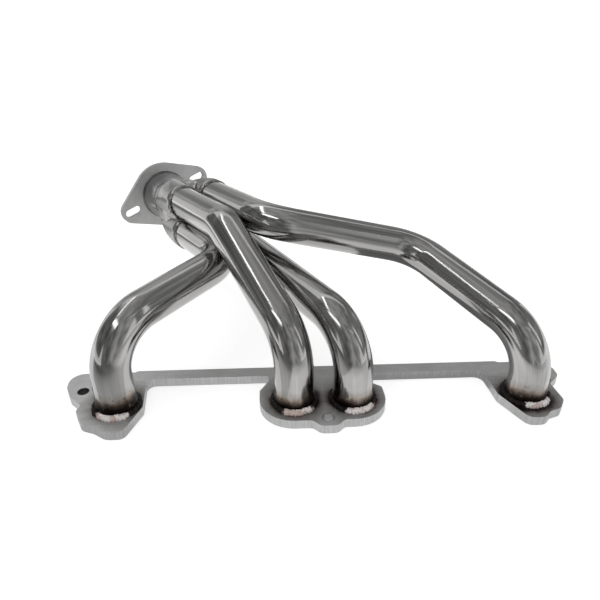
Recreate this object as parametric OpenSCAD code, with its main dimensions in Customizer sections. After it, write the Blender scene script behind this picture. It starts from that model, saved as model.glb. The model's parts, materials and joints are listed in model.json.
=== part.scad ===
// Four-into-one tubular exhaust manifold for an in-line four cylinder head.
// Units are millimetres. The origin is on the head flange's mating face, midway between the ports.
// X runs along the row of ports, Y points away from the engine bay's front, Z points away from the head.

/* [Tubing] */
// Outside diameter of the four primary tubes
tube_od = 38.1; // [36:0.1:39]
// Wall of the primary tubes
tube_wall = 1.6; // [1.2:0.1:2.4]
// Centreline radius of every tube bend
bend_radius = 50.8; // [44:0.2:54]
// How much the wall thins on each side where a tube is bent
bend_thinning = 0.15; // [0.12:0.01:0.25]
// Outside diameter of the expanded tube ends at the head
port_end_od = 40.6; // [39.5:0.1:42]
// Length of the expanded tube end
port_end_length = 12; // [11:0.5:14]
// Length of the cone between tube and expanded end
port_cone_length = 12; // [8:0.5:14]
// How far the tube ends stop short of the mating face
port_recess = 1.5; // [1:0.25:2.5]

/* [Ports] */
// Distance between the two middle ports
middle_port_spacing = 57; // [56:0.5:66]
// Distance between the two end ports
end_port_spacing = 402; // [390:1:414]
// Height of each tube's first corner above the mating face
corner_height_1 = 92; // [86:0.5:96]
// Height of the second tube's first corner
corner_height_2 = 76.5; // [74:0.5:84]
// Height of the third tube's first corner
corner_height_3 = 86; // [82:0.5:90]
// Height of the fourth tube's first corner
corner_height_4 = 72; // [70:0.5:78]

/* [Fourth tube's crossing] */
// Second corner of the fourth tube, along X
crossing_x = 113.5; // [108:0.5:120]
// Second corner of the fourth tube, along Y
crossing_y = 145.5; // [140:0.5:152]
// Second corner of the fourth tube, along Z
crossing_z = 105; // [100:0.5:110]

/* [Collector] */
// Centre of the collector's mouth, along X
mouth_x = -135.5; // [-140:0.5:-130]
// Centre of the collector's mouth, along Y
mouth_y = 240; // [236:0.5:250]
// Centre of the collector's mouth, along Z
mouth_z = 114; // [111:0.5:118]
// Turn of the collector's axis from Y towards the first port
collector_yaw = 30; // [26:0.5:34]
// Rise of the collector's axis
collector_pitch = -4; // [-7:0.5:0]
// Turn of the four sleeves about the collector's axis
collector_roll = -1; // [-4:0.5:3]
// Gap between neighbouring tubes in the mouth
tube_gap = 1.9; // [1.5:0.1:2.3]
// Wall of the collector
collector_wall = 1.6; // [1.4:0.1:2]
// Radial play of a tube in its sleeve
sleeve_play = 0.1; // [0.05:0.05:0.15]
// Depth that a tube slips into its sleeve
slip_depth = 10; // [8:0.5:10.5]
// Straight length of the sleeves before the shoulder
sleeve_length = 6; // [5:0.5:9]
// Radius of the shoulder that draws the sleeves together
shoulder_radius = 60; // [56:1:70]
// Length of the curved shoulder
shoulder_length = 36; // [32:0.5:40]
// Length of the cone from the shoulder to the outlet neck
neck_cone_length = 16; // [12:1:20]
// Length of the collector's straight neck
neck_length = 10; // [6:0.5:16]
// Straight run from each tube's last corner to the mouth
approach_1 = 107; // [104:0.5:112]
// Straight run of the second tube
approach_2 = 109; // [104:0.5:114]
// Straight run of the third tube
approach_3 = 27; // [24:0.5:34]
// Straight run of the fourth tube
approach_4 = 132; // [126:0.5:138]

/* [Outlet] */
// Outside diameter of the outlet pipe
outlet_od = 63.5; // [60:0.5:66]
// Wall of the outlet pipe
outlet_wall = 1.6; // [1.4:0.1:2.4]
// Distance from the collector's mouth to the back of the outlet flange
outlet_distance = 130; // [126:0.5:145]
// Thickness of the outlet flange
outlet_flange_t = 7; // [6:0.5:10]
// Turn of the outlet flange's ears about the pipe
outlet_ear_turn = 17; // [0:1:40]
// Distance between the two slot centres
slot_spacing = 104; // [100:0.5:112]
// Width of a slot
slot_width = 11; // [9:0.5:12]
// Overall length of a slot
slot_length = 22.5; // [18:0.5:24]
// Radius of the outlet flange's round middle
outlet_body_radius = 44.5; // [44:0.5:48]
// Radius of the outlet flange's ears
outlet_ear_radius = 16.5; // [15:0.5:19]
// How far the pipe stops short of the outlet face
outlet_recess = 1.5; // [1:0.25:2.5]

/* [Head flange] */
// Thickness of the head flange
flange_t = 9.5; // [8:0.5:11]
// Distance from the port line to the front of the rail
rail_front = 40; // [39:0.5:46]
// Width of the rail that joins the port plates
rail_width = 15; // [12:0.5:20]
// Play between a tube end and its hole in the flange
port_play = 0.1; // [0.05:0.05:0.2]
// Diameter of the bolt holes
bolt_hole_d = 11; // [9:0.5:12]
// Distance of the first bolt outboard of the first port
bolt_1_out = 39; // [37:0.5:42]
// Distance of the first bolt behind the port line
bolt_1_back = 22.5; // [20:0.5:26]
// Sideways place of the middle bolt
bolt_2_x = 2.5; // [-2:0.5:4]
// Distance of the middle bolt in front of the port line
bolt_2_front = 28.5; // [28:0.5:31]
// Distance of the last bolt outboard of the fourth port
bolt_3_out = 29; // [28:0.5:32]
// Distance of the last bolt behind the port line
bolt_3_back = 21.5; // [20:0.5:26]

/* [Welds] */
// Leg of the fillet weld round each port
port_weld_leg = 3.2; // [2:0.1:3.5]
// Length of the weld on each tube at the collector's mouth
mouth_weld_length = 4; // [3:0.25:6]
// Height of the weld seam where neck and outlet pipe meet
seam_height = 0.8; // [0.6:0.1:1.6]
// Leg of the fillet weld behind the outlet flange
outlet_weld_leg = 1.6; // [1.2:0.1:3]
// Thickness of the plate that closes the gap between the sleeves
star_plate_t = 3; // [2:0.25:4]

/* [Hidden] */
$fn = 96;
cut = 1; // extra length of every cutting tool
corner_step = 12; // greatest turn between two points of a rounded corner

// ---- Tube sizes ----
tube_r = tube_od / 2;
tube_bore_r = tube_r - tube_wall;
port_end_r = port_end_od / 2;
port_end_bore_r = port_end_r - tube_wall;
port_hole_r = port_end_r + port_play;
port_weld_r = port_end_r + port_weld_leg;

// ---- Places of ports and bolts on the head ----
port_x = [
    -end_port_spacing / 2, -middle_port_spacing / 2,
    middle_port_spacing / 2, end_port_spacing / 2
];
bolt_1 = [port_x[0] - bolt_1_out, bolt_1_back];
bolt_2 = [bolt_2_x, -bolt_2_front];
bolt_3 = [port_x[3] + bolt_3_out, bolt_3_back];
rail_back = rail_front + rail_width;
ear_back = rail_back - 2.2;

// ---- The collector's own directions ----
mouth = [mouth_x, mouth_y, mouth_z];
collector_axis = [
    -sin(collector_yaw) * cos(collector_pitch),
    cos(collector_yaw) * cos(collector_pitch),
    sin(collector_pitch)
];
level = [cos(collector_yaw), sin(collector_yaw), 0];
plumb = cross(collector_axis, level);
across = level * cos(collector_roll) + plumb * sin(collector_roll);
down = plumb * cos(collector_roll) - level * sin(collector_roll);

// ---- Sleeves, shoulder and neck ----
sleeve_bore_r = tube_r + sleeve_play;
sleeve_r = sleeve_bore_r + collector_wall;
sleeve_offset = (tube_od + tube_gap) / 2;
sleeves = [
    [-sleeve_offset, sleeve_offset], [-sleeve_offset, -sleeve_offset],
    [sleeve_offset, sleeve_offset], [sleeve_offset, -sleeve_offset]
];
// The shoulder starts this far outside the sleeves, so that it meets them at a clean edge
shoulder_margin = 0.5;
shoulder_r = norm(sleeves[0]) + sleeve_r + shoulder_margin;
shoulder_end = sleeve_length + shoulder_length;
neck_start = shoulder_end + neck_cone_length;
neck_end = neck_start + neck_length;
outlet_r = outlet_od / 2;
outlet_bore_r = outlet_r - outlet_wall;
outlet_face = outlet_distance + outlet_flange_t;
// Four-pointed gap between the sleeves
star_r = sleeve_offset - sqrt(pow(sleeve_r, 2) - pow(sleeve_offset, 2)) + 0.5;
// Core that fills the valleys between the sleeves behind the star weld
core_r = 38;

// ---- Tube routes, corner by corner ----
corner_height = [corner_height_1, corner_height_2, corner_height_3, corner_height_4];
approach = [approach_1, approach_2, approach_3, approach_4];
cone_top = port_recess + port_end_length + port_cone_length;
function sleeve_point(i, z) = mouth + across * sleeves[i].x + down * sleeves[i].y + collector_axis * z;
function crossing(i) = i == 3 ? [[crossing_x, crossing_y, crossing_z]] : [];
function route(i) = concat(
    [[port_x[i], 0, cone_top], [port_x[i], 0, corner_height[i]]],
    crossing(i),
    [sleeve_point(i, -approach[i]), sleeve_point(i, slip_depth)]
);

// ---- Bender's table: straight runs, turns, and rolls between turns ----
function unit(v) = v / norm(v);
function leg(p, i) = unit(p[i + 1] - p[i]);
function turn(p, i) = acos(leg(p, i - 1) * leg(p, i));
function is_end(p, i) = i == 0 || i == len(p) - 1;
function corner_cut(p, i) = is_end(p, i) ? 0 : bend_radius * tan(turn(p, i) / 2);
function run(p, i) = norm(p[i + 1] - p[i]) - corner_cut(p, i) - corner_cut(p, i + 1);
function inward(p, i) = unit(leg(p, i) - leg(p, i - 1) * (leg(p, i - 1) * leg(p, i)));
function bender_x(p, i) =
    i == 0 ? [1, 0, 0] : inward(p, i) * cos(turn(p, i)) - leg(p, i - 1) * sin(turn(p, i));
function roll(p, i) = let (x = bender_x(p, i - 1), want = inward(p, i))
    atan2(cross(x, want) * leg(p, i - 1), x * want);

module pipe(h, r_out, r_in) {
    difference() {
        cylinder(h = h, r = r_out);
        translate([0, 0, -cut])
            cylinder(h = h + 2 * cut, r = r_in);
    }
}

// Moves its children from the start of a bend towards +X to the bend's end
module after_bend(angle) {
    translate([bend_radius, 0, 0])
        rotate([0, angle, 0])
            translate([-bend_radius, 0, 0])
                children();
}

// Bend towards +X, swept a little too far and cut square at its end
module elbow(angle) {
    spare = 3;
    trim_width = 2 * (tube_r + cut);
    difference() {
        translate([bend_radius, 0, 0])
            rotate([90, 0, 180])
                rotate_extrude(angle = angle + spare)
                    translate([bend_radius, 0])
                        difference() {
                            circle(r = tube_r - bend_thinning);
                            circle(r = tube_bore_r + bend_thinning);
                        }
        after_bend(angle)
            translate([-trim_width / 2, -trim_width / 2, 0])
                cube([trim_width, trim_width, trim_width / 2]);
    }
}

// The tube from the start of straight run i to its end, travelling along Z
module bent_tube(p, i) {
    pipe(run(p, i), tube_r, tube_bore_r);
    if (i + 2 < len(p))
        translate([0, 0, run(p, i)])
            rotate([0, 0, roll(p, i + 1)]) {
                elbow(turn(p, i + 1));
                after_bend(turn(p, i + 1))
                    bent_tube(p, i + 1);
            }
}

// Expanded end that sits in the head flange, with the cone above it
module port_end() {
    translate([0, 0, port_recess])
        rotate_extrude()
            polygon([
                [port_end_bore_r, 0],
                [port_end_r, 0],
                [port_end_r, port_end_length],
                [tube_r, port_end_length + port_cone_length],
                [tube_bore_r, port_end_length + port_cone_length],
                [port_end_bore_r, port_end_length]
            ]);
}

module primary_tube(i) {
    color([0.72, 0.71, 0.70])
        translate([port_x[i], 0, 0]) {
            port_end();
            translate([0, 0, cone_top])
                bent_tube(route(i), 0);
        }
}

// Round fillet bead with its corner at radius r
module fillet_ring(r, leg_length) {
    rotate_extrude()
        translate([r, 0])
            intersection() {
                circle(r = leg_length);
                square(leg_length);
            }
}

module port_weld(i) {
    color([0.55, 0.46, 0.42])
        translate([port_x[i], 0, flange_t])
            fillet_ring(port_end_r, port_weld_leg);
}

// Three-cornered bead that fills the step between a hole's wall and the end of the tube in it
module seal_ring(hole_r, bore_r, depth) {
    skin = 0.2;
    rotate_extrude()
        polygon([
            [hole_r, skin],
            [hole_r, depth],
            [bore_r + skin, depth]
        ]);
}

module port_seal_weld(i) {
    color([0.50, 0.47, 0.45])
        translate([port_x[i], 0, 0])
            seal_ring(port_hole_r, port_end_bore_r, port_recess);
}

// ---- Head flange ----
// Each corner of an outline is [x, y, radius]; the outline runs anticlockwise.
function corner_xy(c, i) = let (k = (i + len(c)) % len(c)) [c[k].x, c[k].y];
function to_prev(c, i) = unit(corner_xy(c, i - 1) - corner_xy(c, i));
function to_next(c, i) = unit(corner_xy(c, i + 1) - corner_xy(c, i));
function half_angle(c, i) = acos(to_prev(c, i) * to_next(c, i)) / 2;
function setback(c, i) = c[i].z / tan(half_angle(c, i));
function round_start(c, i) = corner_xy(c, i) + to_prev(c, i) * setback(c, i);
function round_end(c, i) = corner_xy(c, i) + to_next(c, i) * setback(c, i);
function round_centre(c, i) =
    corner_xy(c, i) + unit(to_prev(c, i) + to_next(c, i)) * c[i].z / sin(half_angle(c, i));

// Points along one rounded corner, from the side before it to the side after it
function corner_arc(c, i) =
    let (
        centre = round_centre(c, i),
        from = round_start(c, i) - centre,
        to = round_end(c, i) - centre,
        start = atan2(from.y, from.x),
        sweep = atan2(cross(from, to), from * to),
        steps = ceil(abs(sweep) / corner_step)
    )
    [
        for (k = [0 : steps])
            let (a = start + sweep * k / steps)
            centre + c[i].z * [cos(a), sin(a)]
    ];

module rounded_outline(c) {
    polygon([for (i = [0 : len(c) - 1]) each corner_arc(c, i)]);
}

// Plate round the first port, with the ear of the first bolt
function first_plate() = let (x = port_x[0], w = port_weld_r, b = bolt_1) [
    [x + 9, rail_back, 2],
    [x + 6.5, ear_back, 2],
    [b.x - 19.5, ear_back, 14],
    [b.x - 19.2, b.y + 8, 20],
    [b.x - 11, b.y - 8, 12],
    [b.x + 3.5, b.y - 22, 1],
    [x - w - 14.5, -8, 7],
    [x - w - 4.5, -w - 2.5, 10],
    [x - w + 7.5, -w - 7, 12],
    [x - 3, -w - 16, 12],
    [x + 13.5, -w - 16, 8],
    [x + w + 2, -4.5, 2],
    [x + w - 2.5, rail_front, 9]
];

// Plate round the two middle ports, with the lug of the middle bolt
function middle_plate() = let (l = port_x[1], r = port_x[2], w = port_weld_r, b = bolt_2) [
    [l - w - 2, rail_front, 4],
    [l - w - 2, rail_front - 9, 1.5],
    [l - w - 11, w - 8.7, 1],
    [l - w - 10.5, -w - 8.3, 34],
    [b.x - 15, -w - 8.3, 6],
    [b.x - 7.5, b.y - 11.3, 9],
    [b.x + 8.5, b.y - 11.3, 9],
    [b.x + 15.5, -w - 8.3, 6],
    [r + w + 11, -w - 8.3, 33],
    [r + w + 8.5, w - 7, 3],
    [r + w - 5, w + 2.5, 2],
    [r + w - 5, rail_front, 4]
];

// Plate round the fourth port, with the ear of the last bolt
function last_plate() = let (x = port_x[3], w = port_weld_r, b = bolt_3) [
    [x - w - 7, rail_front, 10],
    [x - w - 4, -1, 10],
    [x - 9.5, -w - 14, 10],
    [x + 6.5, -w - 14, 11],
    [x + 13.5, -w - 6, 5],
    [x + w + 1.5, -w - 2, 9],
    [x + w + 10.5, -w + 10.5, 9],
    [x + w + 8, b.y - 8.5, 3],
    [b.x + 16.5, b.y + 5.5, 8],
    [b.x + 16.5, ear_back, 17],
    [x - 9.5, ear_back, 1.5],
    [x - 11, rail_back, 3]
];

module head_flange() {
    color([0.62, 0.62, 0.62])
        difference() {
            linear_extrude(flange_t)
                rounded_outline(concat(first_plate(), middle_plate(), last_plate()));
            for (x = port_x)
                translate([x, 0, -cut])
                    cylinder(h = flange_t + 2 * cut, r = port_hole_r);
            for (b = [bolt_1, bolt_2, bolt_3])
                translate([b.x, b.y, -cut])
                    cylinder(h = flange_t + 2 * cut, d = bolt_hole_d);
        }
}

// ---- Collector ----
// Z runs along the collector from its mouth, X and Y across the sleeves
module in_collector() {
    translate(mouth)
        rotate([0, 0, collector_yaw])
            rotate([collector_pitch - 90, 0, 0])
                rotate([0, 0, collector_roll])
                    children();
}

// Bell that draws the sleeves together; inset is how far its skin lies inside the outer one
module bell(inset, overrun) {
    r_mouth = shoulder_r - inset;
    r_arc = shoulder_radius - inset;
    r_arc_end = r_mouth - r_arc + sqrt(pow(r_arc, 2) - pow(shoulder_length, 2));
    rotate_extrude() {
        translate([0, -overrun])
            square([r_mouth, sleeve_length + overrun]);
        intersection() {
            translate([r_mouth - r_arc, sleeve_length])
                circle(r = r_arc, $fn = 360);
            translate([0, sleeve_length])
                square([r_mouth, shoulder_length]);
        }
        polygon([
            [0, shoulder_end],
            [r_arc_end, shoulder_end],
            [outlet_r - inset, neck_start],
            [outlet_r - inset, neck_end + overrun],
            [0, neck_end + overrun]
        ]);
    }
}

// Core between the sleeves: a flat nose behind the star weld, then a cone, then a cylinder
module core(inset, overrun) {
    nose = star_plate_t + inset;
    nose_r = star_r - inset * (sqrt(2) - 1);
    body_r = core_r - inset;
    rotate_extrude()
        polygon([
            [0, nose],
            [nose_r, nose],
            [body_r, nose + body_r - nose_r],
            [body_r, neck_end + overrun],
            [0, neck_end + overrun]
        ]);
}

module collector_form(radius, inset, overrun) {
    intersection() {
        union() {
            for (s = sleeves)
                translate([s.x, s.y, -overrun])
                    cylinder(h = neck_end + 2 * overrun, r = radius);
            core(inset, overrun);
        }
        bell(inset, overrun);
    }
}

module collector_body() {
    color([0.70, 0.69, 0.68])
        in_collector()
            difference() {
                collector_form(sleeve_r, 0, 0);
                collector_form(sleeve_bore_r, collector_wall, cut);
            }
}

module star_weld() {
    color([0.45, 0.42, 0.40])
        in_collector()
            linear_extrude(star_plate_t)
                difference() {
                    circle(r = star_r);
                    for (s = sleeves)
                        translate(s)
                            circle(r = sleeve_r);
                }
}

// Weld round a tube where it enters its sleeve, cut off where it meets its neighbours' welds
module mouth_weld(i) {
    s = sleeves[i];
    throat = sleeve_r - tube_r;
    color([0.48, 0.44, 0.42])
        in_collector()
            intersection() {
                translate([s.x, s.y, 0])
                    rotate_extrude()
                        polygon([
                            [tube_r, -mouth_weld_length],
                            [tube_r + 0.75 * throat, -0.6 * mouth_weld_length],
                            [tube_r + throat, 0],
                            [tube_r, 0]
                        ]);
                mirror([s.x < 0 ? 1 : 0, 0, 0])
                    mirror([0, s.y < 0 ? 1 : 0, 0])
                        translate([0, 0, -mouth_weld_length])
                            cube([shoulder_r, shoulder_r, mouth_weld_length]);
            }
}

// ---- Outlet ----
module outlet_pipe() {
    color([0.70, 0.69, 0.68])
        in_collector()
            translate([0, 0, neck_end])
                pipe(outlet_face - outlet_recess - neck_end, outlet_r, outlet_bore_r);
}

module neck_seam_weld() {
    color([0.50, 0.47, 0.45])
        in_collector()
            translate([0, 0, neck_end])
                rotate_extrude()
                    translate([outlet_r, 0])
                        intersection() {
                            circle(r = seam_height);
                            translate([0, -seam_height])
                                square([seam_height, 2 * seam_height]);
                        }
}

// Round middle and two ears, joined by lines that touch both circles
module outlet_outline() {
    ear = slot_spacing / 2;
    lean = asin((outlet_body_radius - outlet_ear_radius) / ear);
    touch = [sin(lean), cos(lean)];
    big = touch * outlet_body_radius;
    small = touch * outlet_ear_radius + [ear, 0];
    circle(r = outlet_body_radius);
    for (side = [-1, 1])
        translate([side * ear, 0])
            circle(r = outlet_ear_radius);
    polygon([
        big, [-big.x, big.y], [-small.x, small.y], [-small.x, -small.y],
        [-big.x, -big.y], [big.x, -big.y], [small.x, -small.y], small
    ]);
}

module slot_hole() {
    straight_part = slot_length - slot_width;
    for (side = [-1, 1])
        translate([side * straight_part / 2, 0, 0])
            cylinder(h = outlet_flange_t + 2 * cut, d = slot_width);
    translate([-straight_part / 2, -slot_width / 2, 0])
        cube([straight_part, slot_width, outlet_flange_t + 2 * cut]);
}

module outlet_flange() {
    color([0.62, 0.62, 0.62])
        in_collector()
            translate([0, 0, outlet_distance])
                rotate([0, 0, -outlet_ear_turn])
                    difference() {
                        linear_extrude(outlet_flange_t)
                            outlet_outline();
                        translate([0, 0, -cut])
                            cylinder(h = outlet_flange_t + 2 * cut, r = outlet_r + port_play);
                        for (side = [-1, 1])
                            translate([side * slot_spacing / 2, 0, -cut])
                                slot_hole();
                    }
}

module outlet_flange_weld() {
    color([0.40, 0.38, 0.37])
        in_collector()
            translate([0, 0, outlet_distance])
                mirror([0, 0, 1])
                    fillet_ring(outlet_r, outlet_weld_leg);
}

module outlet_seal_weld() {
    color([0.50, 0.47, 0.45])
        in_collector()
            translate([0, 0, outlet_face])
                mirror([0, 0, 1])
                    seal_ring(outlet_r + port_play, outlet_bore_r, outlet_recess);
}

head_flange();
primary_tube(0);  // primary_tube_1
primary_tube(1);  // primary_tube_2
primary_tube(2);  // primary_tube_3
primary_tube(3);  // primary_tube_4
port_weld(0);  // port_weld_1
port_weld(1);  // port_weld_2
port_weld(2);  // port_weld_3
port_weld(3);  // port_weld_4
port_seal_weld(0);  // port_seal_weld_1
port_seal_weld(1);  // port_seal_weld_2
port_seal_weld(2);  // port_seal_weld_3
port_seal_weld(3);  // port_seal_weld_4
collector_body();
star_weld();
mouth_weld(0);  // mouth_weld_1
mouth_weld(1);  // mouth_weld_2
mouth_weld(2);  // mouth_weld_3
mouth_weld(3);  // mouth_weld_4
outlet_pipe();
neck_seam_weld();
outlet_flange();
outlet_flange_weld();
outlet_seal_weld();
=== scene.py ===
import json
import math

import bmesh
import bpy
from bpy.props import (
    FloatProperty,
    FloatVectorProperty,
    IntProperty,
    PointerProperty,
)
from mathutils import Matrix, Vector, noise


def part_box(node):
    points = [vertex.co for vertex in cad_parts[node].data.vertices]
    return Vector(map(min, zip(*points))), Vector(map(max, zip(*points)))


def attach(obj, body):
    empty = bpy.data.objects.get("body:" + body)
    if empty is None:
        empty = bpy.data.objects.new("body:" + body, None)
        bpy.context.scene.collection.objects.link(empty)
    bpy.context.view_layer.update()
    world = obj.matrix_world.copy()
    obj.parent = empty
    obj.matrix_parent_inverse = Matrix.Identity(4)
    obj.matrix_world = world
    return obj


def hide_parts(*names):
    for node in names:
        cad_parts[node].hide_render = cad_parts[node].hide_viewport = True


bl_info = {
    "name": "Tubular exhaust manifold",
    "version": (1, 0, 0),
    "blender": (4, 5, 0),
    "location": "View3D > Sidebar > Manifold",
    "description": "Dresses a four-into-one exhaust manifold in polished steel",
    "category": "Object",
}

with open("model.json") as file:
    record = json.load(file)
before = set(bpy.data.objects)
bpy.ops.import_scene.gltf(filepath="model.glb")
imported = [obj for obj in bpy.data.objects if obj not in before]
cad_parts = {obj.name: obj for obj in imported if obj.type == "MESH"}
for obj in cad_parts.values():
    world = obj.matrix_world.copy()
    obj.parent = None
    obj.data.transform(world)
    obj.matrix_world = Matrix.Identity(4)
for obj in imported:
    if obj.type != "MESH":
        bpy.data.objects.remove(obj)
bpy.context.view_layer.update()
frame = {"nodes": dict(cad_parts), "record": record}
PORTS = 4
SENSOR_WIDTH = 36.0
# Rings of points along a tube: their distance on a straight run and their turn in a bend
RING_SPACING = 0.01
RING_TURN = math.radians(2.5)
CONE_RINGS = 8
# Steps of the spin within one ripple of a weld
RIPPLE_STEPS = 6
# Slices across the collector's axis, counted from its mouth
SLICE = 0.0045
SLICES = range(2, 30)


def middle(node):
    """Middle of a CAD node's box"""
    low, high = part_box(node)
    return (low + high) / 2


port_x = [middle(f"port_weld_{i + 1}").x for i in range(PORTS)]
flange_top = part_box("head_flange")[1].z


def bolt_places():
    """Places of the bolt holes on the head flange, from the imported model's mounts"""
    mounts = frame["record"]["mounts"]
    return [m["pos_m"][:2] for m in mounts if m["name"].startswith("bolt_hole")]


# ---- Settings ----
def length(name, description, default):
    return FloatProperty(name=name, description=description, default=default, unit="LENGTH")


def spot(name, description, default):
    return FloatVectorProperty(
        name=name, description=description, default=default, size=3, subtype="TRANSLATION"
    )


def lengths(name, description, default):
    return FloatVectorProperty(name=name, description=description, default=default, size=4)


def angle(name, description, degrees):
    return FloatProperty(
        name=name, description=description, default=math.radians(degrees), subtype="ANGLE"
    )


def colour(name, description, default):
    return FloatVectorProperty(
        name=name, description=description, default=default, size=3, subtype="COLOR", min=0, max=1
    )


class TubeSettings(bpy.types.PropertyGroup):
    tube_radius: length("Tube radius", "Outside radius of a primary tube", 0.01905)
    wall: length("Tube wall", "Wall of a primary tube", 0.0016)
    bend_radius: length("Bend radius", "Centreline radius of every bend", 0.0508)
    port_end_radius: length("Port end radius", "Outside radius of a tube's expanded end", 0.0203)
    port_end_length: length("Port end length", "Length of a tube's expanded end", 0.012)
    port_cone_length: length("Port cone length", "Length of the cone above the end", 0.012)
    port_recess: length("Port recess", "Step between the flange's face and the tube", 0.0015)
    corner_heights: lengths(
        "First corners", "Height of each tube's first corner", (0.092, 0.0765, 0.086, 0.072)
    )
    crossing: spot("Crossing", "Second corner of the fourth tube", (0.1135, 0.1455, 0.105))
    approaches: lengths(
        "Approaches", "Straight run from each last corner to the mouth", (0.107, 0.109, 0.027, 0.132)
    )
    slip_depth: length("Slip depth", "Depth that a tube slips into its sleeve", 0.01)
    port_bead_rise: length("Port weld", "Height of the weld at a port", 0.0036)
    mouth_bead_rise: length("Sleeve weld", "Height of the weld at a sleeve", 0.0016)
    bare_turns: FloatVectorProperty(
        name="Bare sides",
        description="Turn of each port weld's bare side from the front",
        default=[math.radians(a) for a in (-1, 9, 16, 16)],
        size=4,
    )
    sides: IntProperty(name="Sides", description="Points round a tube", default=96, min=24)


class CollectorSettings(bpy.types.PropertyGroup):
    mouth: spot("Mouth", "Centre of the collector's mouth", (-0.1355, 0.240, 0.114))
    yaw: angle("Yaw", "Turn of the axis from Y towards the first port", 30)
    pitch: angle("Pitch", "Rise of the axis", -4)
    roll: angle("Roll", "Turn of the sleeves about the axis", -1)
    tube_gap: length("Tube gap", "Gap between neighbouring tubes", 0.0019)
    lobe_reach: length("Lobe reach", "How much further the second tube's lobe reaches", 0.022)
    lobe_draw_in: length("Lobe draw-in", "How much shorter the fourth tube's lobe is", 0.020)


class SteelSettings(bpy.types.PropertyGroup):
    tube: colour("Polished tube", "Bright side of the polished tubes", (0.46, 0.455, 0.45))
    tube_shade: colour("Polishing bands", "Darker bands along the tubes", (0.35, 0.345, 0.34))
    plate: colour("Cut plate", "Faces of the head flange", (0.78, 0.78, 0.775))
    plate_dull: colour("Dull plate", "Duller patches of the head flange", (0.62, 0.62, 0.62))
    plate_edge: colour("Cut edge", "Laser-cut edges of the head flange", (0.66, 0.66, 0.66))
    edge_shade: colour("Drag lines", "Darker lines down the cut edges", (0.44, 0.44, 0.44))
    collector: colour("Collector", "Bright side of the collector", (0.42, 0.415, 0.41))
    collector_shade: colour("Collector bands", "Darker bands on the collector", (0.32, 0.315, 0.31))
    pipe: colour("Outlet pipe", "Bright side of the outlet pipe", (0.44, 0.44, 0.44))
    pipe_shade: colour("Outlet pipe bands", "Darker bands on the outlet pipe", (0.30, 0.30, 0.30))
    outlet_plate: colour("Outlet flange", "Bright side of the outlet flange", (0.58, 0.58, 0.575))
    outlet_shade: colour("Flange bands", "Darker bands on the outlet flange", (0.46, 0.46, 0.46))
    joint: colour("Outlet joint", "Weld between outlet pipe and flange", (0.27, 0.265, 0.26))
    joint_shade: colour("Joint hollows", "Darker bands on that weld", (0.07, 0.07, 0.07))
    bead: colour("Weld bead", "Bare metal of the weld beads", (1.0, 0.96, 0.94))
    bead_rust: colour("Rusty bead", "Red pits of the bare weld beads", (0.50, 0.34, 0.28))
    polished_bead: colour("Polished bead", "Welds of the collector", (0.42, 0.41, 0.40))
    bead_hollow: colour("Bead hollows", "Hollows of the collector's welds", (0.10, 0.097, 0.095))
    soot: colour("Soot", "Burnt steel beside a weld", (0.016, 0.011, 0.009))


class StageSettings(bpy.types.PropertyGroup):
    camera_place: spot("Camera", "Place of the camera", (-0.03976, -0.44720, 0.36562))
    camera_aim: spot("Aim", "Point that the camera looks at", (-0.02257, 0.0, 0.12059))
    camera_roll: angle("Camera roll", "Turn of the camera about its own axis", -0.33)
    lens: FloatProperty(
        name="Lens", description="Focal length on a 36 mm sensor", default=34.40, unit="CAMERA"
    )
    floor: colour("Floor", "Colour of the floor", (0.82, 0.82, 0.82))


def settings(name):
    return getattr(bpy.context.scene, "manifold_" + name)


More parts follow.
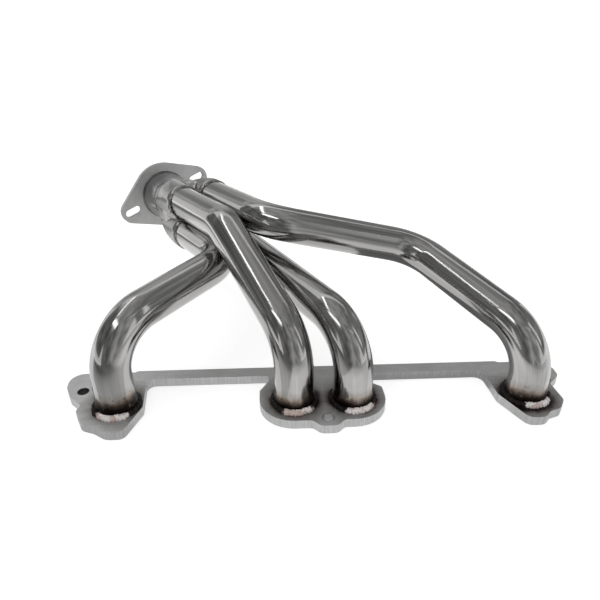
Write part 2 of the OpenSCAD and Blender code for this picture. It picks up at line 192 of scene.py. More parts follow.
# ---- Node materials ----
class Finish:
    """A node material that is being put together"""

    def __init__(self, name):
        self.material = bpy.data.materials.new(name)
        self.material.use_nodes = True
        self.nodes = self.material.node_tree.nodes
        self.links = self.material.node_tree.links
        self.shader = self.nodes["Principled BSDF"]

    def feed(self, socket, value):
        """Links a socket to another, or sets it to a number or a colour"""
        if isinstance(value, bpy.types.NodeSocket):
            self.links.new(value, socket)
        elif socket.type == "RGBA":
            socket.default_value = (*value[:3], 1)
        else:
            socket.default_value = value

    def add(self, kind, inputs, output=0, **options):
        """Adds a node, feeds it and gives back one of its outputs"""
        node = self.nodes.new("ShaderNode" + kind)
        for key, value in options.items():
            setattr(node, key, value)
        for key, value in inputs.items():
            self.feed(node.inputs[key], value)
        return node.outputs[output]

    def object_point(self):
        return self.add("TexCoord", {}, "Object")

    def along_tube(self):
        """The point on the tube as if it were straight, with Z along it"""
        return self.add("Attribute", {}, "Vector", attribute_name="straightened")

    def mapped(self, point, scale=(1, 1, 1), turn=(0, 0, 0), shift=(0, 0, 0)):
        inputs = {"Vector": point, "Scale": scale, "Rotation": turn, "Location": shift}
        return self.add("Mapping", inputs)

    def noise(self, point, scale, detail=3.0, roughness=0.5, distortion=0.0):
        inputs = {
            "Vector": point,
            "Scale": scale,
            "Detail": detail,
            "Roughness": roughness,
            "Distortion": distortion,
        }
        return self.add("TexNoise", inputs)

    def calc(self, operation, first, second=0.0, clamp=False):
        return self.add("Math", {0: first, 1: second}, operation=operation, use_clamp=clamp)

    def spread(self, value, low, high, to_low=0.0, to_high=1.0):
        """Maps low to to_low and high to to_high, and holds what lies outside"""
        inputs = {"Value": value, "From Min": low, "From Max": high}
        inputs.update({"To Min": to_low, "To Max": to_high})
        return self.add("MapRange", inputs)

    def mix(self, amount, first, second, blend="MIX"):
        """Mixes two colours, which have the node's sockets 6 and 7 and come out at 2"""
        node = self.nodes.new("ShaderNodeMix")
        node.data_type, node.blend_type = "RGBA", blend
        self.feed(node.inputs["Factor"], amount)
        self.feed(node.inputs[6], first)
        self.feed(node.inputs[7], second)
        return node.outputs[2]

    def ramp(self, amount, stops):
        """Colour ramp through stops of a position and a colour"""
        node = self.nodes.new("ShaderNodeValToRGB")
        while len(node.color_ramp.elements) < len(stops):
            node.color_ramp.elements.new(1)
        for element, (position, shade) in zip(node.color_ramp.elements, stops):
            element.position = position
            element.color = (*shade[:3], 1)
        self.feed(node.inputs["Fac"], amount)
        return node.outputs["Color"]

    def bump(self, height, strength, distance, under=None):
        inputs = {"Height": height, "Strength": strength, "Distance": distance}
        if under is not None:
            inputs["Normal"] = under
        return self.add("Bump", inputs)

    def blend_noises(self, first, second):
        """Bands made of six parts of one noise and four of another"""
        total = self.calc("ADD", self.calc("MULTIPLY", first, 0.6), self.calc("MULTIPLY", second, 0.4))
        return self.spread(total, 0.35, 0.65)

    def nearest(self, point, rings):
        """Distance in plan from the nearest ring's centre, over that ring's share of the full size"""
        flat = self.mapped(point, scale=(1, 1, 0))
        nearest = None
        for x, y, share in rings:
            here = self.add("VectorMath", {0: flat, 1: (x, y, 0)}, "Value", operation="DISTANCE")
            here = self.calc("DIVIDE", here, share)
            nearest = here if nearest is None else self.calc("MINIMUM", nearest, here)
        return nearest

    def set(self, **inputs):
        """Feeds the shader's own sockets and gives back the material"""
        for key, value in inputs.items():
            self.feed(self.shader.inputs[key.replace("_", " ")], value)
        return self.material


def polished_tube():
    """Polished tube with bands along it, burnt and heat tinted above its port weld"""
    steel = settings("steel")
    m = Finish("polished_tube")
    point = m.along_tube()
    fine = m.noise(m.mapped(point, scale=(1, 1, 0.02)), 900, 4, 0.6)
    band = m.noise(m.mapped(point, scale=(1, 1, 0.06)), 85, 3, 0.55, 0.2)
    cloud = m.noise(m.mapped(point, scale=(1, 1, 0.5)), 38, 3, 0.5)
    haze = m.noise(m.mapped(point, scale=(1, 1, 0.3)), 60, 4, 0.65)
    clean = m.mix(m.blend_noises(band, fine), steel.tube_shade, steel.tube)
    height = m.add("SeparateXYZ", {"Vector": point}, "Z")
    ragged = m.noise(m.mapped(point, scale=(1, 1, 0.7)), 75, 4, 0.6)
    smoky = m.spread(m.add("SeparateXYZ", {"Vector": point}, "X"), 0.2, 0.4, -0.004, 0.0)
    burnt = m.calc("ADD", m.calc("ADD", height, smoky), m.spread(ragged, 0.3, 0.7, -0.003, 0.003))
    above = m.spread(burnt, 0.008, 0.036)
    smudge = m.noise(m.mapped(point, scale=(1, 1, 0.8)), 210, 3, 0.6)
    tint = m.ramp(
        above,
        [
            (0.0, steel.soot),
            (0.22, (0.035, 0.026, 0.022)),
            (0.33, (0.17, 0.13, 0.11)),
            (0.43, (0.48, 0.40, 0.34)),
            (0.54, (0.78, 0.73, 0.68)),
            (0.80, (1, 1, 1)),
        ],
    )
    near = m.spread(above, 0.85, 0.40)
    marks = m.calc("MULTIPLY", m.spread(smudge, 0.60, 0.66), near)
    tinted = m.mix(1.0, clean, tint, "MULTIPLY")
    rubbed = m.calc("ADD", m.spread(fine, 0.3, 0.7, 0.07, 0.14), m.spread(haze, 0.45, 0.7, 0.0, 0.11))
    return m.set(
        Base_Color=m.mix(marks, tinted, (0.07, 0.06, 0.055)),
        Metallic=1.0,
        Roughness=m.calc("ADD", rubbed, m.spread(above, 0.2, 0.5, 0.30, 0.0)),
        Normal=m.bump(cloud, 0.25, 0.0012, m.bump(fine, 0.05, 0.0002)),
    )


def port_weld_metal():
    """Crusty bead, bare where the torch ended in front and burnt on its other sides"""
    steel = settings("steel")
    m = Finish("port_weld_metal")
    point = m.object_point()
    crust = m.noise(point, 1000, 4, 0.65)
    blotch = m.noise(point, 260, 3, 0.6)
    bare = m.mix(m.spread(crust, 0.34, 0.46), steel.bead_rust, steel.bead)
    patch = m.noise(point, 130, 2, 0.5)
    bare = m.mix(m.spread(patch, 0.50, 0.60, 0, 0.6), bare, (0.55, 0.36, 0.29))
    bare_side = m.add("Attribute", {}, "Fac", attribute_name="bare_side")
    ragged = m.calc("ADD", bare_side, m.spread(blotch, 0.3, 0.7, -0.07, 0.07))
    front = m.spread(ragged, 0.76, 0.82)
    return m.set(
        Base_Color=m.mix(front, steel.soot, bare),
        Metallic=m.spread(front, 0, 1, 0.6, 0.25),
        Roughness=m.spread(crust, 0.3, 0.7, 0.3, 0.55),
        Normal=m.bump(crust, 0.8, 0.0008),
    )


def polished_weld_metal():
    """Bead that was polished over with the collector, dark in its hollows"""
    steel = settings("steel")
    m = Finish("polished_weld_metal")
    point = m.object_point()
    lump = m.noise(point, 240, 3, 0.6)
    pit = m.noise(point, 700, 3, 0.6)
    return m.set(
        Base_Color=m.mix(m.spread(lump, 0.40, 0.60), steel.bead_hollow, steel.polished_bead),
        Metallic=1.0,
        Roughness=m.spread(pit, 0.3, 0.7, 0.18, 0.36),
        Normal=m.bump(lump, 0.6, 0.0015, m.bump(pit, 0.3, 0.0005)),
    )


def in_bolt_holes(m, point):
    """1 on the walls of the bolt holes and 0 on the plate past a narrow rim"""
    far = m.nearest(point, [(x, y, 1.0) for x, y in bolt_places()])
    return m.spread(far, 0.0064, 0.0056)


def burnt_rings():
    """Centre of the burnt ring round each port, and its share of the full size"""
    drifts = ((0, 0, 0.90), (0, 0, 0.97), (0, 0, 0.97), (-0.002, -0.006, 0.98))
    return [(x + right, back, share) for x, (right, back, share) in zip(port_x, drifts)]


def cut_plate():
    """Laser-cut plate: dull faces with a faint grain, lighter edges with fine drag lines, and painted
    shade past the first port and in the bolt holes
    """
    steel = settings("steel")
    m = Finish("cut_plate")
    point = m.object_point()
    grain = m.noise(m.mapped(point, scale=(0.06, 1, 1)), 900, 4, 0.6)
    cloud = m.noise(point, 45, 4, 0.6)
    speck = m.noise(point, 1500, 3, 0.7)
    face = m.mix(m.spread(cloud, 0.3, 0.7), steel.plate_dull, steel.plate)
    face = m.mix(m.spread(grain, 0.3, 0.7, 0, 0.6), face, (0.50, 0.50, 0.50))
    face = m.mix(m.spread(speck, 0.45, 0.7, 0, 0.5), face, (0.36, 0.36, 0.36))
    # painted shade: the plate is painted darker past the first port's end, and the first port's bolt
    # hole darker
    x = m.add("SeparateXYZ", {"Vector": point}, "X")
    face = m.mix(m.spread(x, -0.17, -0.05, 0.0, 0.2), face, (0.30, 0.30, 0.30))
    drag = m.noise(m.mapped(point, scale=(1, 1, 0.05)), 1100, 3, 0.6)
    edge = m.mix(m.spread(drag, 0.3, 0.7), steel.edge_shade, steel.plate_edge)
    upright = m.add("SeparateXYZ", {"Vector": m.add("NewGeometry", {}, "True Normal")}, "Z")
    level = m.spread(m.calc("ABSOLUTE", upright), 0.4, 0.6)
    shade = m.mix(level, edge, face)
    uneven = m.spread(cloud, 0.3, 0.7, -0.003, 0.003)
    far = m.calc("ADD", m.nearest(point, burnt_rings()), uneven)
    halo = m.ramp(
        m.spread(far, 0.020, 0.044),
        [
            (0.0, steel.soot),
            (0.15, (0.03, 0.022, 0.02)),
            (0.24, (0.20, 0.16, 0.145)),
            (0.38, (0.50, 0.48, 0.47)),
            (0.65, (0.78, 0.775, 0.77)),
            (1.0, (1, 1, 1)),
        ],
    )
    burnt = m.mix(level, shade, m.mix(1.0, shade, halo, "MULTIPLY"))
    # painted shade in the bolt holes: near black walls in the first one, a dark painted rim round each
    hole = m.mix(m.spread(x, -0.1, -0.05), (0.05, 0.05, 0.05), (0.45, 0.45, 0.45))
    hole = m.mix(level, hole, (0.10, 0.10, 0.10))
    return m.set(
        Base_Color=m.mix(in_bolt_holes(m, point), burnt, hole),
        Metallic=0.6,
        Roughness=m.spread(speck, 0.3, 0.7, 0.42, 0.6),
        Normal=m.bump(speck, 0.25, 0.0003, m.bump(m.mix(level, drag, grain), 0.15, 0.0004)),
    )


def brushed(name, light, dark, rough=0.22, metallic=1.0):
    """Steel polished along the collector's axis"""
    c = settings("collector")
    m = Finish(name)
    point = m.mapped(m.object_point(), turn=(0, 0, -c.yaw))
    fine = m.noise(m.mapped(point, scale=(1, 0.05, 1)), 700, 4, 0.6)
    cloud = m.noise(point, 60, 4, 0.6)
    return m.set(
        Base_Color=m.mix(m.blend_noises(cloud, fine), dark, light),
        Metallic=metallic,
        Roughness=m.spread(fine, 0.3, 0.7, rough - 0.06, rough + 0.08),
        Normal=m.bump(cloud, 0.08, 0.001, m.bump(fine, 0.06, 0.0002)),
    )


def paint_node(name, material):
    """Gives a CAD node that is shown as it is one material all over"""
    mesh = frame["nodes"][name].data
    mesh.materials.clear()
    mesh.materials.append(material)


# ---- Making pieces ----
def keep_piece(name, bm, material, nodes=()):
    """Turns a bmesh into a piece that rides on the manifold"""
    mesh = bpy.data.meshes.new(name)
    bm.to_mesh(mesh)
    bm.free()
    for polygon in mesh.polygons:
        polygon.use_smooth = True
    mesh.materials.append(material)
    piece = bpy.data.objects.new(name, mesh)
    bpy.context.scene.collection.objects.link(piece)
    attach(piece, "root")
    if nodes:
        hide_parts(*nodes)
    return piece


def collector_axes():
    """Directions across, down and along the collector"""
    c = settings("collector")
    along = Vector(
        (-math.sin(c.yaw) * math.cos(c.pitch), math.cos(c.yaw) * math.cos(c.pitch), math.sin(c.pitch))
    )
    level = Vector((math.cos(c.yaw), math.sin(c.yaw), 0))
    plumb = along.cross(level)
    across = level * math.cos(c.roll) + plumb * math.sin(c.roll)
    down = plumb * math.cos(c.roll) - level * math.sin(c.roll)
    return across, down, along


def sleeve_point(i, depth):
    """Point on the axis of a sleeve, at a depth behind the collector's mouth"""
    c, t = settings("collector"), settings("tubes")
    offset = (2 * t.tube_radius + c.tube_gap) / 2
    across, down, along = collector_axes()
    x = -offset if i < 2 else offset
    y = offset if i % 2 == 0 else -offset
    return Vector(c.mouth) + across * x + down * y + along * depth


def tube_corners(i):
    """Corners of a tube's centre line, from the port to inside its sleeve"""
    t = settings("tubes")
    foot = Vector((port_x[i], 0, t.port_recess))
    corners = [foot, Vector((port_x[i], 0, t.corner_heights[i]))]
    if i == 3:
        corners.append(Vector(t.crossing))
    return corners + [sleeve_point(i, -t.approaches[i]), sleeve_point(i, t.slip_depth)]


class PipeBender:
    """Draws a ring of points out into a pipe, and notes how far along each ring lies.

    What it notes is the point on the straightened tube, set apart so that no two tubes share a pattern
    """

    def __init__(self, foot, radius, sides, apart):
        self.bm = bmesh.new()
        self.straightened = self.bm.verts.layers.float_vector.new("straightened")
        around = Matrix.Translation(foot)
        ring = bmesh.ops.create_circle(self.bm, radius=radius, segments=sides, matrix=around)
        self.ring = ring["verts"]
        self.edges = [e for e in self.bm.edges]
        self.centre = Vector(foot)
        self.along = 0.0
        for v in self.ring:
            v[self.straightened] = v.co - self.centre + Vector((apart, 0, 0))

    def draw_out(self, distance):
        """Extrudes the last ring where it stands and notes the distance that it will move"""
        made = bmesh.ops.extrude_edge_only(self.bm, edges=self.edges)["geom"]
        self.ring = [g for g in made if isinstance(g, bmesh.types.BMVert)]
        self.edges = [
            g for g in made if isinstance(g, bmesh.types.BMEdge) and all(v in self.ring for v in g.verts)
        ]
        self.along += distance
        for v in self.ring:
            flat = v[self.straightened]
            v[self.straightened] = (flat.x, flat.y, self.along)

    def push(self, direction, distance, steps=1):
        """Straight run"""
        for _ in range(steps):
            self.draw_out(distance / steps)
            move = direction * (distance / steps)
            bmesh.ops.translate(self.bm, verts=self.ring, vec=move)
            self.centre += move

    def widen(self, factor):
        """Scales the last ring about its own centre"""
        bmesh.ops.scale(
            self.bm, verts=self.ring, vec=(factor,) * 3, space=Matrix.Translation(-self.centre)
        )

    def bend(self, before, after, radius, steps):
        """Turns from one direction into another round a circle"""
        axis = before.cross(after).normalized()
        inward = axis.cross(before)
        pivot = self.centre + inward * radius
        step = before.angle(after) / steps
        turn = Matrix.Rotation(step, 3, axis)
        for _ in range(steps):
            self.draw_out(radius * step)
            bmesh.ops.rotate(self.bm, cent=pivot, matrix=turn, verts=self.ring)
            self.centre = pivot + turn @ (self.centre - pivot)


def draw_cone(pipe, way):
    """Draws the pipe in from its expanded end to the tube's radius, smoothly at both ends"""
    t = settings("tubes")
    radius = t.port_end_radius
    for k in range(1, CONE_RINGS + 1):
        ease = 0.5 - 0.5 * math.cos(math.pi * k / CONE_RINGS)
        wanted = t.port_end_radius + (t.tube_radius - t.port_end_radius) * ease
        pipe.push(way, t.port_cone_length / CONE_RINGS)
        pipe.widen(wanted / radius)
        radius = wanted


def build_tube(i, material):
    """Bends one primary tube through its corners and gives it its wall"""
    t = settings("tubes")
    corners = tube_corners(i)
    legs = [(b - a) for a, b in zip(corners, corners[1:])]
    ways = [leg.normalized() for leg in legs]
    # what each bend takes off the straight runs before and after it
    bends = [t.bend_radius * math.tan(a.angle(b) / 2) for a, b in zip(ways, ways[1:])]
    cuts = [0.0] + bends + [0.0]
    pipe = PipeBender(corners[0], t.port_end_radius, t.sides, apart=0.7 * i)
    pipe.push(ways[0], t.port_end_length, 3)
    draw_cone(pipe, ways[0])
    drawn = t.port_end_length + t.port_cone_length
    for k, (leg, way) in enumerate(zip(legs, ways)):
        run = leg.length - cuts[k] - cuts[k + 1] - (drawn if k == 0 else 0)
        pipe.push(way, run, max(1, round(run / RING_SPACING)))
        if k + 1 < len(ways):
            turn = way.angle(ways[k + 1])
            pipe.bend(way, ways[k + 1], t.bend_radius, max(4, round(turn / RING_TURN)))
    bmesh.ops.recalc_face_normals(pipe.bm, faces=pipe.bm.faces)
    piece = keep_piece(f"bent_tube_{i + 1}", pipe.bm, material, [f"primary_tube_{i + 1}"])
    wall = piece.modifiers.new("wall", "SOLIDIFY")
    wall.thickness = t.wall
    wall.offset = -1
    return piece


class HEADER_OT_tubes(bpy.types.Operator):
    """Bends the four primary tubes and polishes them"""

    bl_idname = "header.tubes"
    bl_label = "Bend the tubes"

    def execute(self, context):
        material = polished_tube()
        for i in range(PORTS):
            build_tube(i, material)
        return {"FINISHED"}


def bead_section(radius, rise):
    """Closed outline of a bead that lies in the corner between a pipe and a face"""
    into_pipe, into_face = 0.0004, 0.0003
    bm = bmesh.new()
    inner = bm.verts.new((radius - into_pipe, 0, -into_face))
    outer = bm.verts.new((radius + rise, 0, -into_face))
    edge = bm.verts.new((radius + rise, 0, 0))
    bm.edges.new((inner, outer))
    bm.edges.new((outer, edge))
    round_over = bmesh.ops.spin(
        bm, geom=[edge], cent=(radius, 0, 0), axis=(0, -1, 0), angle=math.pi / 2, steps=8
    )
    top = [g for g in round_over["geom_last"] if isinstance(g, bmesh.types.BMVert)][0]
    heel = bm.verts.new((radius - into_pipe, 0, rise))
    bm.edges.new((top, heel))
    bm.edges.new((heel, inner))
    return bm


def ripple_ring(name, nodes, centre, axis, radius, rise, ripples, seed, material, heavy, swell):
    """A bead of weld laid round a pipe in overlapping ripples.

    swell holds how thick it is all round, and how much thicker on its heavy side. The attribute
    bare_side is 1 in the heavy direction and falls to 0 at a right angle to it
    """
    bm = bead_section(radius, rise)
    bmesh.ops.spin(
        bm,
        geom=bm.verts[:] + bm.edges[:],
        cent=(0, 0, 0),
        axis=(0, 0, 1),
        angle=math.tau,
        steps=ripples * RIPPLE_STEPS,
        use_merge=True,
        use_duplicate=False,
    )
    bmesh.ops.remove_doubles(bm, verts=bm.verts, dist=1e-6)
    bmesh.ops.recalc_face_normals(bm, faces=bm.faces)
    turned = axis.to_track_quat("Z", "Y").to_matrix()
    bare_side = bm.verts.layers.float.new("bare_side")
    for v in bm.verts:
        r = math.hypot(v.co.x, v.co.y)
        way = turned @ Vector((v.co.x / r, v.co.y / r, 0))
        v[bare_side] = max(0.0, way.dot(heavy))
        # points on the pipe stay where they are
        out = r - radius
        if out < 0.0001:
            continue
        a = math.atan2(v.co.y, v.co.x)
        ridge = abs(math.sin(ripples * a / 2 + 1.4 * v.co.z / rise + seed))
        lump = noise.noise(Vector((v.co.x * 300, v.co.y * 300, seed * 3)))
        thick = swell[0] + swell[1] * v[bare_side] ** 2
        grow = thick * (0.88 + 0.20 * ridge + 0.30 * lump)
        v.co.x *= (radius + out * grow) / r
        v.co.y *= (radius + out * grow) / r
        if v.co.z > 0:
            v.co.z *= grow
    bmesh.ops.transform(bm, matrix=Matrix.Translation(centre) @ turned.to_4x4(), verts=bm.verts)
    return keep_piece(name, bm, material, nodes)


class HEADER_OT_port_beads(bpy.types.Operator):
    """Lays the weld round each tube on the head flange"""

    bl_idname = "header.port_beads"
    bl_label = "Weld the ports"

    def execute(self, context):
        t = settings("tubes")
        material = port_weld_metal()
        up = Vector((0, 0, 1))
        for i in range(PORTS):
            ripple_ring(
                f"port_bead_{i + 1}",
                [f"port_weld_{i + 1}"],
                centre=Vector((port_x[i], 0, flange_top)),
                axis=up,
                radius=t.port_end_radius,
                rise=t.port_bead_rise,
                ripples=44,
                seed=i * 1.7,
                material=material,
                heavy=Vector((math.sin(t.bare_turns[i]), -math.cos(t.bare_turns[i]), 0)),
                swell=(0.95, 0.35),
            )
        return {"FINISHED"}


class HEADER_OT_flanges(bpy.types.Operator):
    """Gives the two flanges their cut and rubbed steel"""

    bl_idname = "header.flanges"
    bl_label = "Finish the flanges"

    def execute(self, context):
        steel = settings("steel")
        paint_node("head_flange", cut_plate())
        plate = brushed("outlet_plate", steel.outlet_plate, steel.outlet_shade, 0.45, metallic=0.6)
        paint_node("outlet_flange", plate)
        return {"FINISHED"}


def eased(amount):
    """0 below 0 and 1 above 1, with a smooth way between them"""
    held = min(1.0, max(0.0, amount))
    return held * held * (3 - 2 * held)


def drawn_lobe(point):
    """Moves a point of the collector, whose second lobe is longer and whose fourth is shorter"""
    # depths behind the mouth between which the lobes move, and how softly that starts and ends
    first, starting, last, ending = 0.012, 0.024, 0.118, 0.045
    across, down, along = collector_axes()
    c = settings("collector")
    local = point - Vector(c.mouth)
    x, y, z = local.dot(across), local.dot(down), local.dot(along)
    r = math.hypot(x, y)
    if r < 1e-6:
        return point
    second = max(0.0, (-x - y) / (math.sqrt(2) * r)) ** 1.5
    fourth = max(0.0, (x - y) / (math.sqrt(2) * r)) ** 1.5
    ease = eased((z - first) / starting) * eased((last - z) / ending)
    return point + along * ease * (c.lobe_reach * second - c.lobe_draw_in * fourth)


def reshaped(node, piece_name, material, smooth_above):
    """Copies a node, slices it across the collector's axis and moves its lobes"""
    along = collector_axes()[2]
    mouth = Vector(settings("collector").mouth)
    bm = bmesh.new()
    bm.from_mesh(frame["nodes"][node].data)
    bmesh.ops.remove_doubles(bm, verts=bm.verts, dist=2e-6)
    for k in SLICES:
        bmesh.ops.bisect_plane(
            bm,
            geom=bm.verts[:] + bm.edges[:] + bm.faces[:],
            plane_co=mouth + along * (SLICE * k),
            plane_no=along,
            dist=1e-6,
        )
    for v in bm.verts:
        v.co = drawn_lobe(v.co)
    bm.normal_update()
    piece = keep_piece(piece_name, bm, material, [node])
    piece.data.set_sharp_from_angle(angle=smooth_above)
    return piece


class HEADER_OT_collector(bpy.types.Operator):
    """Finishes the collector, its pipe and the welds that hold them"""

    bl_idname = "header.collector"
    bl_label = "Finish the collector"

    def execute(self, context):
        t, steel = settings("tubes"), settings("steel")
        body = brushed("collector_metal", steel.collector, steel.collector_shade, 0.28)
        pipe = brushed("outlet_pipe_metal", steel.pipe, steel.pipe_shade, 0.2)
        joint = brushed("dark_joint", steel.joint, steel.joint_shade, 0.4)
        bead = polished_weld_metal()
        reshaped("collector_body", "collector_shell", body, math.radians(80))
        reshaped("outlet_pipe", "outlet_stub", pipe, math.radians(40))
        reshaped("neck_seam_weld", "neck_bead", body, math.radians(80))
        for name in ("star_weld", "outlet_seal_weld"):
            paint_node(name, bead)
        paint_node("outlet_flange_weld", joint)
        across, down, along = collector_axes()
        heavy = (-across + down * 0.6).normalized()
        for i in range(PORTS):
            # the second tube's weld has fewer ripples and swells on its outer side
            second = i == 1
            paint_node(f"port_seal_weld_{i + 1}", bead)
            ripple_ring(
                f"mouth_bead_{i + 1}",
                [f"mouth_weld_{i + 1}"],
                centre=sleeve_point(i, 0),
                axis=-along,
                radius=t.tube_radius,
                rise=t.mouth_bead_rise,
                ripples=24 if second else 34,
                seed=i * 2.3,
                material=bead,
                heavy=heavy,
                swell=(0.4, 2.2) if second else (0.45, 0.0),
            )
        return {"FINISHED"}


# ---- Stage ----
STAGE_MIDDLE = (-0.02, 0.12, 0.06)
# Each lamp's name, place, width and height, and power
LAMPS = (
    ("key_lamp", (-0.7, -0.5, 1.3), (0.8, 0.2), 1.6),
    ("top_lamp", (-0.6, 0.35, 1.3), (0.9, 0.1), 0.9),
    ("side_lamp", (1.2, -0.3, 0.8), (0.18, 0.8), 0.5),
)
# Each card's name, place, width and height, and its shades at places along X
STANDING_CARDS = (
    (
        "back_card", (0, 1.9, 1.0), (4.2, 1.7),
        [(-2.1, 0.50), (-0.6, 0.50), (-0.1, 0.46), (0.2, 0.38), (0.5, 0.26), (2.1, 0.24)],
    ),
    (
        "front_card", (0, -1.82, 0.98), (4.2, 2.5),
        [(-2.1, 0.20), (-0.4, 0.22), (0.2, 0.44), (2.1, 0.44)],
    ),
    ("left_card", (-1.9, 0, 1.1), (2.8, 1.8), [(-2.1, 0.20), (2.1, 0.20)]),
    ("right_card", (1.9, 0.2, 1.1), (2.8, 1.8), [(-2.1, 0.26), (2.1, 0.26)]),
    (
        "roof_card", (0, 0.0, 2.0), (3.2, 2.4),
        [(-1.6, 0.30), (-0.5, 0.42), (0.3, 0.36), (1.6, 0.28)],
    ),
)
# The floor lies a little under the mating face, and the floor cards between the two
FLOOR_LEVEL = -0.0004
# Each card's name, place, width and length, and its shades at places along Y
FLOOR_CARDS = (
    (
        "front_left_floor_card", (-1.08, -1.21, -0.0002), (2.04, 2.38),
        [(-2.4, 0.22), (-0.8, 0.20), (-0.22, 0.21), (-0.04, 0.66)],
    ),
    (
        "front_right_floor_card", (1.02, -1.21, -0.0002), (2.16, 2.38),
        [(-2.4, 0.44), (-0.8, 0.48), (-0.22, 0.60), (-0.04, 0.95)],
    ),
    (
        "back_floor_card", (0, 1.12, -0.0002), (3.2, 1.5),
        [(0.38, 0.80), (0.6, 0.26), (1.87, 0.24)],
    ),
    (
        "bay_floor_card", (0.116, 0.16, -0.0001), (0.13, 0.28),
        [(0.02, 0.50), (0.08, 0.28), (0.30, 0.22)],
    ),
)


def seen_as_background(nodes, links):
    """1 for the rays that look at the background, alone or through gloss and glass"""
    path = nodes.new("ShaderNodeLightPath")
    total = path.outputs["Is Camera Ray"]
    for name in ("Is Glossy Ray", "Is Transmission Ray"):
        higher = nodes.new("ShaderNodeMath")
        higher.operation = "MAXIMUM"
        links.new(total, higher.inputs[0])
        links.new(path.outputs[name], higher.inputs[1])
        total = higher.outputs[0]
    return total


def light_world():
    """White surroundings that light the object less than they show"""
    world = bpy.data.worlds.new("white_studio")
    world.use_nodes = True
    nodes, links = world.node_tree.nodes, world.node_tree.links
    soft = nodes["Background"]
    soft.inputs["Color"].default_value = (1, 1, 1, 1)
    soft.inputs["Strength"].default_value = 0.6
    white = nodes.new("ShaderNodeBackground")
    white.inputs["Color"].default_value = (1, 1, 1, 1)
    white.inputs["Strength"].default_value = 1.0
    mix = nodes.new("ShaderNodeMixShader")
    links.new(seen_as_background(nodes, links), mix.inputs["Fac"])
    links.new(soft.outputs[0], mix.inputs[1])
    links.new(white.outputs[0], mix.inputs[2])
    links.new(mix.outputs[0], nodes["World Output"].inputs["Surface"])
    bpy.context.scene.world = world


def lay_floor():
    """Pale floor that keeps the shadow near the manifold and is white further out"""
    s = settings("stage")
    m = Finish("pale_floor")
    m.set(Base_Color=tuple(s.floor), Roughness=0.9, Specular_IOR_Level=0.0)
    far = m.add("VectorMath", {0: m.object_point()}, "Value", operation="LENGTH")
    glow = m.add("Emission", {"Color": (1, 1, 1), "Strength": m.spread(far, 0.4, 1.6, 0.6, 1.0)})
    both = m.add("AddShader", {0: m.shader.outputs[0], 1: glow})
    mix = m.nodes.new("ShaderNodeMixShader")
    m.links.new(seen_as_background(m.nodes, m.links), mix.inputs["Fac"])
    m.links.new(m.shader.outputs[0], mix.inputs[1])
    m.links.new(both, mix.inputs[2])
    m.links.new(mix.outputs[0], m.nodes["Material Output"].inputs["Surface"])
    bm = bmesh.new()
    bmesh.ops.create_circle(
        bm, cap_ends=True, radius=45, segments=64, matrix=Matrix.Translation((0, 0, FLOOR_LEVEL))
    )
    mesh = bpy.data.meshes.new("floor")
    bm.to_mesh(mesh)
    bm.free()
    mesh.materials.append(m.material)
    floor = bpy.data.objects.new("floor", mesh)
    bpy.context.scene.collection.objects.link(floor)


def hang_lamp(name, place, size, power):
    """Soft lamp turned towards the middle of the stage"""
    light = bpy.data.lights.new(name, "AREA")
    light.shape = "RECTANGLE"
    light.size, light.size_y = size
    light.energy = power
    lamp = bpy.data.objects.new(name, light)
    lamp.location = place
    aim = Vector(STAGE_MIDDLE) - Vector(place)
    lamp.rotation_euler = aim.to_track_quat("-Z", "Y").to_euler()
    bpy.context.scene.collection.objects.link(lamp)


def keep_card(name, bm, fade, way):
    """A grey studio card that only shows in the polished steel; fade lists its shade along X or Y"""
    m = Finish(name)
    point = m.object_point()
    patch = m.spread(m.noise(point, 1.7, 1, 0.5), 0.34, 0.66, 0.6, 1.4)
    first, last = fade[0][0], fade[-1][0]
    along = m.spread(m.add("SeparateXYZ", {"Vector": point}, way), first, last)
    shade = m.ramp(along, [((at - first) / (last - first), (v, v, v)) for at, v in fade])
    strength = m.calc("MULTIPLY", patch, shade)
    glow = m.add("Emission", {"Color": (1, 1, 1), "Strength": strength})
    m.links.new(glow, m.nodes["Material Output"].inputs["Surface"])
    mesh = bpy.data.meshes.new(name)
    bm.to_mesh(mesh)
    bm.free()
    mesh.materials.append(m.material)
    card = bpy.data.objects.new(name, mesh)
    bpy.context.scene.collection.objects.link(card)
    card.visible_camera = False
    card.visible_diffuse = False
    card.visible_shadow = False
    card.visible_transmission = False


def card_sheet(size):
    """Flat sheet of a width and a length"""
    bm = bmesh.new()
    bmesh.ops.create_grid(bm, x_segments=1, y_segments=1, size=0.5)
    bmesh.ops.scale(bm, verts=bm.verts, vec=(size[0], size[1], 1))
    return bm


def stand_card(name, place, size, fade):
    """Card that faces the middle of the stage"""
    bm = card_sheet(size)
    aim = Vector(STAGE_MIDDLE) - Vector(place)
    facing = aim.to_track_quat("Z", "Y").to_matrix().to_4x4()
    bmesh.ops.transform(bm, matrix=Matrix.Translation(place) @ facing, verts=bm.verts)
    keep_card(name, bm, fade, "X")


def lay_card(name, place, size, fade):
    """Card that lies on the floor"""
    bm = card_sheet(size)
    bmesh.ops.translate(bm, verts=bm.verts, vec=place)
    keep_card(name, bm, fade, "Y")


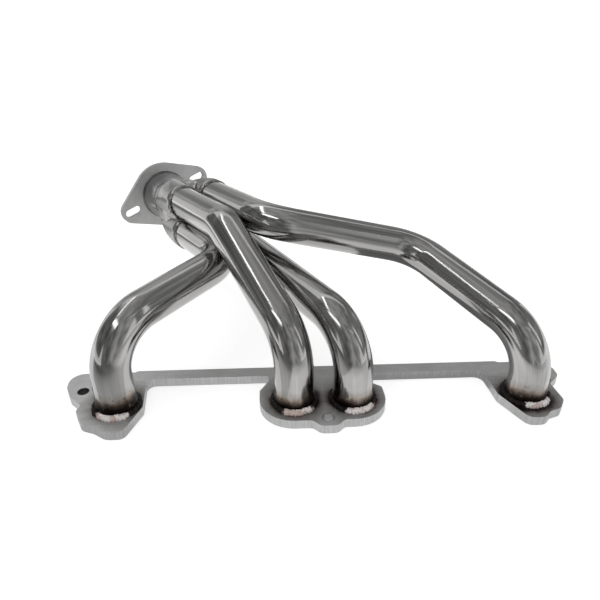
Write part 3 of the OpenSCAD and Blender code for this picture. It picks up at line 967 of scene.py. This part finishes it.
def set_camera(context):
    """Camera at its place, turned towards its aim and then about its own axis"""
    s = settings("stage")
    place, aim = Vector(s.camera_place), Vector(s.camera_aim)
    back = (place - aim).normalized()
    right = Vector((0, 0, 1)).cross(back).normalized()
    up = back.cross(right)
    turned = Matrix.Rotation(s.camera_roll, 3, back)
    data = bpy.data.cameras.new("studio_camera")
    data.sensor_width, data.lens = SENSOR_WIDTH, s.lens
    data.clip_start, data.clip_end = 0.02, 100
    camera = bpy.data.objects.new("studio_camera", data)
    axes = Matrix((turned @ right, turned @ up, back)).transposed()
    camera.matrix_world = Matrix.Translation(place) @ axes.to_4x4()
    context.scene.collection.objects.link(camera)
    context.scene.camera = camera


class HEADER_OT_stage(bpy.types.Operator):
    """Sets the camera, the floor, the lamps and the studio cards"""

    bl_idname = "header.stage"
    bl_label = "Set the stage"

    def execute(self, context):
        set_camera(context)
        light_world()
        lay_floor()
        for lamp in LAMPS:
            hang_lamp(*lamp)
        for card in STANDING_CARDS:
            stand_card(*card)
        for card in FLOOR_CARDS:
            lay_card(*card)
        context.scene.view_settings.view_transform = "Standard"
        return {"FINISHED"}


class HEADER_PT_panel(bpy.types.Panel):
    """Steps that dress the manifold"""

    bl_idname = "HEADER_PT_panel"
    bl_label = "Exhaust manifold"
    bl_space_type = "VIEW_3D"
    bl_region_type = "UI"
    bl_category = "Manifold"

    def draw(self, context):
        for operator in OPERATORS:
            self.layout.operator(operator.bl_idname)
        for name in GROUPS:
            group = settings(name)
            box = self.layout.box()
            box.label(text=name.title())
            for key in group.__annotations__:
                box.prop(group, key)


GROUPS = {
    "tubes": TubeSettings,
    "collector": CollectorSettings,
    "steel": SteelSettings,
    "stage": StageSettings,
}
OPERATORS = (
    HEADER_OT_tubes,
    HEADER_OT_port_beads,
    HEADER_OT_flanges,
    HEADER_OT_collector,
    HEADER_OT_stage,
)


def register():
    for cls in (*GROUPS.values(), *OPERATORS, HEADER_PT_panel):
        bpy.utils.register_class(cls)
    for name, group in GROUPS.items():
        setattr(bpy.types.Scene, "manifold_" + name, PointerProperty(type=group))


def unregister():
    for name in GROUPS:
        delattr(bpy.types.Scene, "manifold_" + name)
    for cls in (HEADER_PT_panel, *reversed(OPERATORS), *GROUPS.values()):
        bpy.utils.unregister_class(cls)


def main():
    register()
    bpy.ops.header.stage()
    bpy.ops.header.tubes()
    bpy.ops.header.port_beads()
    bpy.ops.header.flanges()
    bpy.ops.header.collector()


if __name__ == "__main__":
    main()
